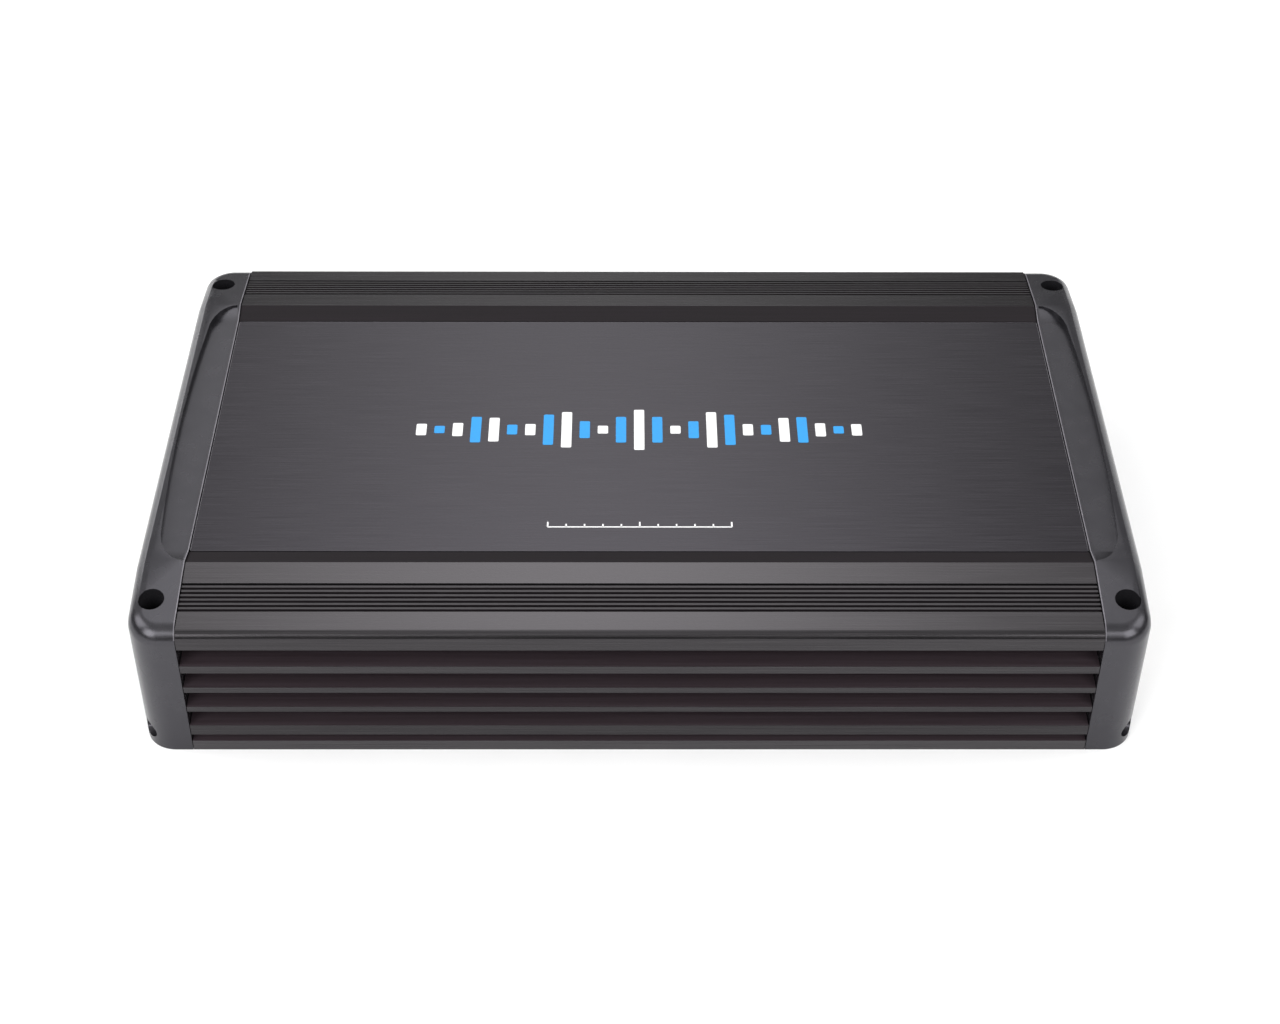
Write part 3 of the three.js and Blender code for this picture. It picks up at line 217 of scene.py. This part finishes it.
def stand_for(piece, node):
    """The piece takes the place and body of a CAD node, whose own mesh is hidden."""
    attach(piece, BODY_OF[node])
    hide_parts(node)


def refine(node, material, width):
    """Stands a merged copy of a CAD node in its place, its edges broken by width if there is one."""
    piece = merged_copy(node, material)
    if width:
        bevel(piece, width)
    smooth(piece)
    stand_for(piece, node)


# ------------------------------------------------------------------ materials

def surface(name, colours, roughness, grain, detail=2, metallic=0, relief=0, strength=1):
    """A finish whose colour, gloss and relief follow one noise.

    colours are its darkest and lightest, roughness its smoothest and roughest,
    grain the real size of one patch along X, Y and Z, relief the height it rises,
    strength how much of that height shows.
    """
    material = bpy.data.materials.new(name)
    material.use_nodes = True
    tree = material.node_tree
    shader = tree.nodes["Principled BSDF"]
    place = add(tree, "ShaderNodeTexCoord")
    scaled = add(tree, "ShaderNodeMapping", {
        "Vector": place.outputs["Object"], "Scale": [1 / size for size in grain]})
    noise = add(tree, "ShaderNodeTexNoise", {
        "Vector": scaled.outputs["Vector"], "Scale": 1, "Detail": detail, "Roughness": 0.6})
    share = add(tree, "ShaderNodeMapRange", {
        "Value": noise.outputs["Fac"], "From Min": 0.3, "From Max": 0.7})
    colour = add(tree, "ShaderNodeMix", {
        0: share.outputs["Result"], 6: linear(colours[0]), 7: linear(colours[1])}, data_type="RGBA")
    gloss = add(tree, "ShaderNodeMapRange", {
        "Value": share.outputs["Result"], "To Min": roughness[0], "To Max": roughness[1]})
    tree.links.new(colour.outputs[2], shader.inputs["Base Color"])
    tree.links.new(gloss.outputs["Result"], shader.inputs["Roughness"])
    if relief:
        raised = add(tree, "ShaderNodeBump", {
            "Height": noise.outputs["Fac"], "Distance": relief, "Strength": strength})
        tree.links.new(raised.outputs["Normal"], shader.inputs["Normal"])
    shader.inputs["Metallic"].default_value = metallic
    return material


def set_sockets(material, **values):
    """Sets plain values on a material's own shader sockets, named with _ for a space."""
    shader = material.node_tree.nodes["Principled BSDF"]
    for name, value in values.items():
        shader.inputs[name.replace("_", " ")].default_value = value
    return material


def anodised_extrusion():
    """Anodised aluminium, extruded and then brushed: satin grey with die lines along the bar."""
    return surface(
        "anodised_aluminium_brushed", ("#353335", "#403E40"), roughness=(0.2, 0.3),
        grain=(40 * MM, 0.35 * MM, 0.35 * MM), detail=3, metallic=0.85,
        relief=0.006 * MM, strength=0.5)


def anodised_foot_painted_light():
    """The same anodising on the foot of the bar, painted a little paler: painted light against the shade
    the floor throws there.
    """
    return surface(
        "anodised_aluminium_foot_painted_light", ("#474547", "#525052"), roughness=(0.25, 0.35),
        grain=(40 * MM, 0.35 * MM, 0.35 * MM), detail=3, metallic=0.85,
        relief=0.006 * MM, strength=0.5)


def anodised_ribs():
    """The same anodising on the narrow ribs of the rails, too fine for the brush: duller."""
    return surface(
        "anodised_aluminium_ribs", ("#383638", "#444244"), roughness=(0.4, 0.5),
        grain=(40 * MM, 0.8 * MM, 0.8 * MM), detail=3, metallic=0.85)


def anodised_recess_painted_shade():
    """Anodised aluminium painted near black and matt: painted shade on the walls round the panel and in
    the grooves.
    """
    return set_sockets(surface(
        "anodised_aluminium_recess_painted_shade", ("#191618", "#211D20"), roughness=(0.5, 0.65),
        grain=(60 * MM, 0.8 * MM, 0.8 * MM), detail=3), Specular_IOR_Level=0.1)


def anodised_slots_painted_shade():
    """The same anodising between the fins, matt and near black: painted shade, a touch lighter than on
    the walls round the panel.
    """
    return set_sockets(surface(
        "anodised_aluminium_slots_painted_shade", ("#32292D", "#3B3237"), roughness=(0.5, 0.65),
        grain=(60 * MM, 0.8 * MM, 0.8 * MM), detail=3), Specular_IOR_Level=0.3)


def brushed_panel():
    """Brushed and anodised aluminium sheet: close hairlines along X, a little bluish grey."""
    return surface(
        "anodised_aluminium_hairline", ("#302E32", "#3B393D"), roughness=(0.2, 0.3),
        grain=(25 * MM, 0.3 * MM, 0.3 * MM), detail=4, metallic=0.9,
        relief=0.005 * MM, strength=0.5)


def panel_edge_painted_highlight():
    """A thin pale line on the panel's broken edge: a painted highlight."""
    return surface(
        "aluminium_edge_painted_highlight", ("#7A777D", "#8F8C92"), roughness=(0.4, 0.5),
        grain=(2 * MM,) * 3, metallic=0.3)


def coated_casting():
    """Die cast metal under a smooth satin coat: soft wide highlights, nearly even gloss."""
    return surface(
        "satin_coated_casting", ("#403F43", "#424145"), roughness=(0.25, 0.28),
        grain=(6 * MM,) * 3, detail=1, metallic=0.75)


def cap_lip_painted_highlight():
    """A thin pale line on the cap's lip: a painted highlight on the cast metal."""
    return surface(
        "casting_lip_painted_highlight", ("#5F5C62", "#716E74"), roughness=(0.35, 0.45),
        grain=(3 * MM,) * 3, metallic=0.2)


def powder_coat():
    """Powder coat on sheet steel: black with a fine even pebble."""
    return surface(
        "powder_coated_steel", ("#232325", "#2D2D2F"), roughness=(0.5, 0.65),
        grain=(0.5 * MM,) * 3, relief=0.05 * MM, strength=0.6)


def zinc_plating():
    """Bright zinc plating on steel: silvery with faint cloudy patches."""
    return surface(
        "zinc_plated_steel", ("#A9ABB0", "#BDBFC3"), roughness=(0.24, 0.34),
        grain=(2.5 * MM,) * 3, metallic=1)


def moulded_black():
    """Black glass-filled nylon, moulded in a lightly sparked tool: fine matt grain."""
    return surface(
        "moulded_black_nylon", ("#18181A", "#222224"), roughness=(0.42, 0.58),
        grain=(0.35 * MM,) * 3, relief=0.03 * MM, strength=0.5)


def gold_plating():
    """Thin gold plating on brass: warm and bright with light wear."""
    return surface(
        "gold_plated_brass", ("#C79A3E", "#E2B95C"), roughness=(0.16, 0.3),
        grain=(1.2 * MM,) * 3, detail=4, metallic=1)


def tinted_plastic(name, dark, light):
    """Clear tinted polycarbonate, moulded: glossy, with light coming a little way through it."""
    return set_sockets(surface(
        name, (dark, light), roughness=(0.12, 0.2), grain=(3 * MM,) * 3),
        Transmission_Weight=0.35, IOR=1.58)


def fibre_board():
    """Glass-fibre circuit board under green solder mask: smooth, faintly mottled by the weave."""
    return surface(
        "solder_masked_glass_fibre", ("#1B4D30", "#245C3A"), roughness=(0.35, 0.47),
        grain=(4 * MM,) * 3)


def copper_winding():
    """Enamelled copper wire, wound: warm brown, glossy over a patchy metal."""
    return surface(
        "enamelled_copper", ("#8A4A20", "#B36A34"), roughness=(0.25, 0.37),
        grain=(1 * MM,) * 3, metallic=0.8)


def shrink_sleeve():
    """Heat-shrunk vinyl round a capacitor: dark blue and evenly glossy."""
    return surface(
        "shrunk_vinyl_sleeve", ("#1B2742", "#263355"), roughness=(0.3, 0.42),
        grain=(6 * MM,) * 3)


def epoxy_resin():
    """Moulded epoxy of a power device: black, with the mineral filler's faint grain."""
    return surface(
        "moulded_epoxy", ("#141416", "#1E1E20"), roughness=(0.5, 0.62),
        grain=(0.6 * MM,) * 3)


def silicone_pad():
    """Filled silicone rubber: chalky grey and quite matt."""
    return surface(
        "filled_silicone_rubber", ("#8D9094", "#A2A5A9"), roughness=(0.7, 0.82),
        grain=(1 * MM,) * 3)


def printed_ink(name, shade, colour):
    """Screen-printed ink: flat and slightly matt, its film a touch uneven."""
    return surface(name, (shade, colour), roughness=(0.45, 0.6), grain=(0.6 * MM,) * 3)


def floor_paper():
    """White paper sweep under the product: matt, with the faintest cloudiness of the pulp."""
    return set_sockets(surface(
        "white_paper", ("#F6F6F6", "#F8F8F8"), roughness=(0.88, 0.92), grain=(30 * MM,) * 3),
        Specular_IOR_Level=0.1)


# ------------------------------------------------------------------ casing

RAIL_WIDTH = 28.2 * MM
RAIL_DROP = 4.2 * MM  # from the rail's crest to its outer edge
GROOVES_START, GROOVES_END = 8.5 * MM, 19 * MM  # outwards from the crest, over the grooves' middles
GROOVE_REACH = 2 * MM  # further below the rail's slope than any groove
RIB_TOP = 0.2 * MM  # a face no further below the slope is the top of a rib
RECESS_REACH = 7 * MM  # outwards from the panel's edge, over the walls round it
SLOTS_BELOW_TOP = 10 * MM
SIDE_SKIN = 0.3 * MM  # a face no further in from the side is the outer face of a fin
FOOT_HEIGHT = 5 * MM
HEATSINK_EDGE = 0.12 * MM
HEATSINK_ANGLE = 20
PANEL_EDGE = 0.2 * MM
CAP_EDGE = 0.18 * MM
CAP_ANGLE = 24
LIP_EDGE = 0.35 * MM  # width of the pale strip painted as a highlight on the lip
SHEET_EDGE = 0.15 * MM


def finish_heatsink():
    """The extrusion: brushed outside, with painted shade on the walls round the panel, in the grooves
    and the slots, and a paler foot as painted light.
    """
    piece = merged_copy(
        "heatsink", anodised_extrusion(), anodised_recess_painted_shade(), anodised_slots_painted_shade(), anodised_ribs(),
        anodised_foot_painted_light())
    brushed, recess_painted_shade, slots_painted_shade, ribs, foot_painted_light = range(5)
    bevel(piece, HEATSINK_EDGE, HEATSINK_ANGLE)
    panel_low, panel_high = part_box("top_panel")
    _, body_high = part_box("heatsink")
    for face in piece.data.polygons:
        side, height = abs(face.center.y), face.center.z
        beyond_crest = side - (body_high.y - RAIL_WIDTH)
        rail = body_high.z - beyond_crest * RAIL_DROP / RAIL_WIDTH
        in_recess = side < panel_high.y + RECESS_REACH and height > panel_low.z
        in_band = GROOVES_START < beyond_crest < GROOVES_END and height > rail - GROOVE_REACH
        # Painted shade: the walls round the panel and the floors and walls of the grooves get the near
        # black matt colour.
        if in_recess or (in_band and height < rail - RIB_TOP):
            face.material_index = recess_painted_shade
        elif in_band:
            face.material_index = ribs
        # Painted shade: the faces between the fins get a dark matt colour.
        elif side < body_high.y - SIDE_SKIN and height < body_high.z - SLOTS_BELOW_TOP:
            face.material_index = slots_painted_shade
        # Painted light: the foot gets a paler colour, against the shade the floor throws on it.
        elif height < FOOT_HEIGHT:
            face.material_index = foot_painted_light
        else:
            face.material_index = brushed
    smooth(piece, HEATSINK_ANGLE)
    stand_for(piece, "heatsink")


def finish_panel(edge_highlight):
    """The brushed panel, with a painted highlight on its broken edge along the back and the ends."""
    piece = merged_copy("top_panel", brushed_panel(), edge_highlight)
    bevel(piece, PANEL_EDGE)
    # Painted highlight: the broken edge along the back and the ends gets a pale colour; the front edge
    # keeps the panel's own.
    for face in piece.data.polygons:
        broken_edge = 0.1 < face.normal.z < 0.95
        faces_front = face.normal.y <= -0.1
        if broken_edge and not faces_front:
            face.material_index = 1
    smooth(piece)
    stand_for(piece, "top_panel")


def finish_cap(node, casting, edge_highlight):
    """A cast cap with its small edges broken, and a painted highlight on the lip along the panel and
    rails.
    """
    piece = merged_copy(node, casting, edge_highlight)
    bevel(piece, CAP_EDGE, CAP_ANGLE)
    low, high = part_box(node)
    lip = high.x - LIP_EDGE if high.x < 0 else low.x + LIP_EDGE
    make_active(piece)
    bpy.ops.object.mode_set(mode="EDIT")
    bpy.ops.mesh.select_all(action="SELECT")
    bpy.ops.mesh.bisect(plane_co=(lip, 0, 0), plane_no=(1, 0, 0))
    bpy.ops.object.mode_set(mode="OBJECT")
    # Painted highlight: the lip's top, a strip LIP_EDGE wide beside the panel, gets a pale colour.
    for face in piece.data.polygons:
        beside_panel = abs(face.center.x) < abs(lip)
        if beside_panel and face.normal.z > 0.2:
            face.material_index = 1
    smooth(piece, CAP_ANGLE)
    stand_for(piece, node)


def finish_casing():
    finish_heatsink()
    finish_panel(panel_edge_painted_highlight())
    casting, edge_highlight = coated_casting(), cap_lip_painted_highlight()
    for node in ("left_end_cap", "right_end_cap"):
        finish_cap(node, casting, edge_highlight)
    coat = powder_coat()
    for node in ("bottom_cover", "power_end_plate", "signal_end_plate"):
        refine(node, coat, SHEET_EDGE)


# ------------------------------------------------------------------ printed marks

INK = 0.04 * MM  # thickness of the printed film
LEVEL_BARS = 25
LEVEL_PITCH = 6 * MM
LEVEL_BAR = 3.4 * MM
LEVEL_TALLEST = 21 * MM
LEVEL_LOWEST = 0.18  # share of the tallest
LEVEL_HALF_WAVES = 5.5  # from the middle bar to the last
LEVEL_FADE = 0.75  # share of the wave that is gone at the last bar
SCALE_Y = -48.6 * MM
SCALE_LENGTH = 58 * MM
SCALE_STEPS = 10
SCALE_STROKE = 0.5 * MM
LONG_TICK, SHORT_TICK = 2.4 * MM, 1.4 * MM
DIAL_TICKS = 11
DIAL_SWEEP = radians(140)  # each way from the middle, as the knobs turn
DIAL_RADIUS = 6.1 * MM
DIAL_TICK_WIDTH, DIAL_TICK_LENGTH = 0.3 * MM, 0.8 * MM
POINTER_WIDTH, POINTER_LENGTH = 0.8 * MM, 3.8 * MM
POINTER_SLOT = 1 * MM  # depth of the slot in a knob's face
POINTER_OFFSET = 2.4 * MM  # from the knob's middle to the painted line's
TERMINAL_SCREW_HEAD = 3 * MM  # height of the head over the wall it is driven to
SIGN_DROP = 2.4 * MM  # from the block's top to the middle of a sign
SIGN_LENGTH, SIGN_STROKE = 2.8 * MM, 0.6 * MM
SIGN_RING_RADIUS, SIGN_RING_WIDTH = 1.2 * MM, 0.45 * MM
JACK_RING_RADIUS, JACK_RING_WIDTH = 6.5 * MM, 0.8 * MM
SLEEVE_GAP = 0.1 * MM  # from the block's face to the sleeve's low end


def thicken():
    """In edit mode: raises all the flat faces to the thickness of the ink."""
    bpy.ops.mesh.select_all(action="SELECT")
    bpy.ops.mesh.extrude_region_move(TRANSFORM_OT_translate={"value": (0, 0, INK)})
    bpy.ops.mesh.select_all(action="SELECT")
    bpy.ops.mesh.normals_make_consistent(inside=False)


def ink_bar(width, height, corner):
    """A printed bar with rounded corners, flat at the origin."""
    bpy.ops.object.select_all(action="DESELECT")
    bpy.ops.mesh.primitive_plane_add(size=2)
    bar = bpy.context.object
    bpy.ops.object.mode_set(mode="EDIT")
    bpy.ops.mesh.select_all(action="SELECT")
    bpy.ops.transform.resize(value=(width / 2, height / 2, 1), center_override=(0, 0, 0))
    bpy.ops.mesh.bevel(offset=corner, segments=4, affect="VERTICES")
    thicken()
    bpy.ops.object.mode_set(mode="OBJECT")
    return bar


def ink_ring(outer, width):
    """A printed ring, flat at the origin."""
    bpy.ops.object.select_all(action="DESELECT")
    bpy.ops.mesh.primitive_circle_add(vertices=40, radius=outer, fill_type="NGON")
    ring = bpy.context.object
    bpy.ops.object.mode_set(mode="EDIT")
    bpy.ops.mesh.select_all(action="SELECT")
    bpy.ops.mesh.inset(thickness=width)
    bpy.ops.mesh.delete(type="FACE")
    thicken()
    bpy.ops.object.mode_set(mode="OBJECT")
    return ring


def end_face(x, side):
    """The frame of a face that looks along X: side is 1 or -1, right is the viewer's right."""
    turn = Matrix(((0, side, 0), (0, 0, 1), (side, 0, 0))).transposed().to_4x4()
    return Matrix.Translation((x, 0, 0)) @ turn


def at(x, y, turn=0):
    return Matrix.Translation((x, y, 0)) @ Matrix.Rotation(turn, 4, "Z")


def moved(piece, place):
    """The piece itself, with its mesh carried to place."""
    piece.data.transform(place)
    return piece


def copy_at(piece, place):
    """A copy of the piece with a mesh of its own, carried to place."""
    made = bpy.data.objects.new(piece.name, piece.data.copy())
    bpy.context.collection.objects.link(made)
    return moved(made, place)


def print_on(node, name, pieces, material):
    """Joins printed pieces into one film that moves with the node it is printed on."""
    make_active(pieces[0])
    for piece in pieces:
        piece.select_set(True)
    bpy.ops.object.join()
    film = bpy.context.object
    film.name = name
    film.data.materials.clear()
    film.data.materials.append(material)
    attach(film, BODY_OF[node])


def print_panel(white, blue):
    """A row of level bars like a sound wave, and a plain scale near the front edge."""
    _, panel_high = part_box("top_panel")
    panel = Matrix.Translation((0, 0, panel_high.z))
    middle = (LEVEL_BARS - 1) / 2
    levels = []
    for i in range(LEVEL_BARS):
        along = (i - middle) / middle
        swell = (0.5 + 0.5 * cos(LEVEL_HALF_WAVES * pi * along)) * (1 - LEVEL_FADE * along ** 2)
        share = LEVEL_LOWEST + (1 - LEVEL_LOWEST) * swell
        bar = ink_bar(LEVEL_BAR, share * LEVEL_TALLEST, corner=0.5 * MM)
        levels.append(moved(bar, panel @ at((i - middle) * LEVEL_PITCH, 0)))
    print_on("top_panel", "level_print_white", levels[::2], white)
    print_on("top_panel", "level_print_blue", levels[1::2], blue)
    line = ink_bar(SCALE_LENGTH, SCALE_STROKE, corner=0.1 * MM)
    scale = [moved(line, panel @ at(0, SCALE_Y))]
    long_tick = ink_bar(SCALE_STROKE, LONG_TICK, corner=0.1 * MM)
    short_tick = ink_bar(SCALE_STROKE, SHORT_TICK, corner=0.1 * MM)
    for i in range(SCALE_STEPS + 1):
        x = (i / SCALE_STEPS - 0.5) * SCALE_LENGTH
        tick, length = (long_tick, LONG_TICK) if i % 5 == 0 else (short_tick, SHORT_TICK)
        scale.append(copy_at(tick, panel @ at(x, SCALE_Y + length / 2)))
    bpy.data.objects.remove(long_tick)
    bpy.data.objects.remove(short_tick)
    print_on("top_panel", "scale_print", scale, white)


def print_dials(white):
    """Ticks on the plate round each knob, and a line of paint in each knob's pointer slot."""
    _, plate_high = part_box("signal_end_plate")
    plate = end_face(plate_high.x, 1)
    tick = ink_bar(DIAL_TICK_WIDTH, DIAL_TICK_LENGTH, corner=0.05 * MM)
    ticks = []
    for control in ("level", "low_pass", "subsonic", "bass_boost"):
        low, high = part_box(control + "_knob")
        centre = (low + high) / 2
        for i in range(DIAL_TICKS):
            turn = (2 * i / (DIAL_TICKS - 1) - 1) * DIAL_SWEEP
            spoke = at(centre.y, centre.z, turn) @ at(0, DIAL_RADIUS)
            ticks.append(copy_at(tick, plate @ spoke))
        slot_floor = end_face(high.x - POINTER_SLOT, 1)
        pointer = ink_bar(POINTER_WIDTH, POINTER_LENGTH, corner=0.3 * MM)
        moved(pointer, slot_floor @ at(centre.y, centre.z + POINTER_OFFSET))
        print_on(control + "_knob", control + "_pointer_paint", [pointer], white)
    bpy.data.objects.remove(tick)
    print_on("signal_end_plate", "dial_print", ticks, white)


def print_poles(white):
    """Plus, minus and ring marks on the back wall of each terminal's bay, over its screw."""
    blocks = {
        "speaker_terminal_block": (("speaker_minus", "minus"), ("speaker_plus", "plus")),
        "power_terminal_block": (("ground", "minus"), ("remote", "ring"), ("battery", "plus")),
    }
    for block, poles in blocks.items():
        _, block_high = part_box(block)
        marks = []
        for pole, sign in poles:
            low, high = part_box(pole + "_terminal_screw")
            wall = end_face(low.x + TERMINAL_SCREW_HEAD, -1)
            place = wall @ at(-(low.y + high.y) / 2, block_high.z - SIGN_DROP)
            if sign == "ring":
                marks.append(moved(ink_ring(SIGN_RING_RADIUS, SIGN_RING_WIDTH), place))
            else:
                marks.append(moved(ink_bar(SIGN_LENGTH, SIGN_STROKE, corner=0.12 * MM), place))
            if sign == "plus":
                marks.append(moved(ink_bar(SIGN_STROKE, SIGN_LENGTH, corner=0.12 * MM), place))
        print_on(block, block + "_pole_print", marks, white)


def print_jacks(white, red):
    """A white and a red ring on the block's face round the two input jacks."""
    for number, colour in ((1, white), (2, red)):
        low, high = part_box(f"input_jack_sleeve_{number}")
        face = end_face(low.x - SLEEVE_GAP, 1)
        ring = ink_ring(JACK_RING_RADIUS, JACK_RING_WIDTH)
        moved(ring, face @ at((low.y + high.y) / 2, (low.z + high.z) / 2))
        print_on("input_jack_block", f"jack_{number}_ring_print", [ring], colour)


def print_marks():
    white = printed_ink("white_screen_ink", "#DEDEDF", "#E9E9E9")
    blue = printed_ink("blue_screen_ink", "#1285C8", "#1791D6")
    red = printed_ink("red_screen_ink", "#A62A25", "#B5312B")
    print_panel(white, blue)
    print_dials(white)
    print_poles(white)
    print_jacks(white, red)


# ------------------------------------------------------------------ everything else

FUSE_BLADE = 7 * MM  # length of the blades behind a fuse's head
FUSE_EDGE = 0.25 * MM


def finish_fuse(node, plastic, plating):
    """A blade fuse: tinted plastic head, plated blades."""
    piece = merged_copy(node, plastic, plating)
    bevel(piece, FUSE_EDGE)
    _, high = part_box(node)
    blades_start = high.x - FUSE_BLADE + 0.1 * MM  # just behind the head
    for face in piece.data.polygons:
        if face.center.x > blades_start:
            face.material_index = 1
    smooth(piece)
    stand_for(piece, node)


def finish_fittings():
    """Every other node, by the record's slot: its finish, and how far its edges are broken."""
    zinc = zinc_plating()
    amber = tinted_plastic("amber_polycarbonate", "#CE8226", "#DC9236")
    finishes = {
        "zinc_steel": (zinc, 0.15 * MM),
        "black_plastic": (moulded_black(), 0.2 * MM),
        "gold_plate": (gold_plating(), 0.1 * MM),
        "fibre_board": (fibre_board(), 0),
        "copper_winding": (copper_winding(), 0.3 * MM),
        "can_sleeve": (shrink_sleeve(), 0.3 * MM),
        "device_resin": (epoxy_resin(), 0.2 * MM),
        "grey_pad": (silicone_pad(), 0),
        "lamp_green": (tinted_plastic("green_polycarbonate", "#2F9A4A", "#49BE66"), 0),
        "lamp_red": (tinted_plastic("red_polycarbonate", "#B02E28", "#CF4A42"), 0),
    }
    for node, slot_name in SLOT_OF.items():
        if slot_name in finishes:
            material, width = finishes[slot_name]
            refine(node, material, width)
        elif slot_name == "fuse_amber":
            finish_fuse(node, amber, zinc)


# ------------------------------------------------------------------ scene

add_camera()
add_floor()
add_lights()
add_world()
bpy.context.scene.view_settings.view_transform = "Standard"
finish_casing()
print_marks()
finish_fittings()
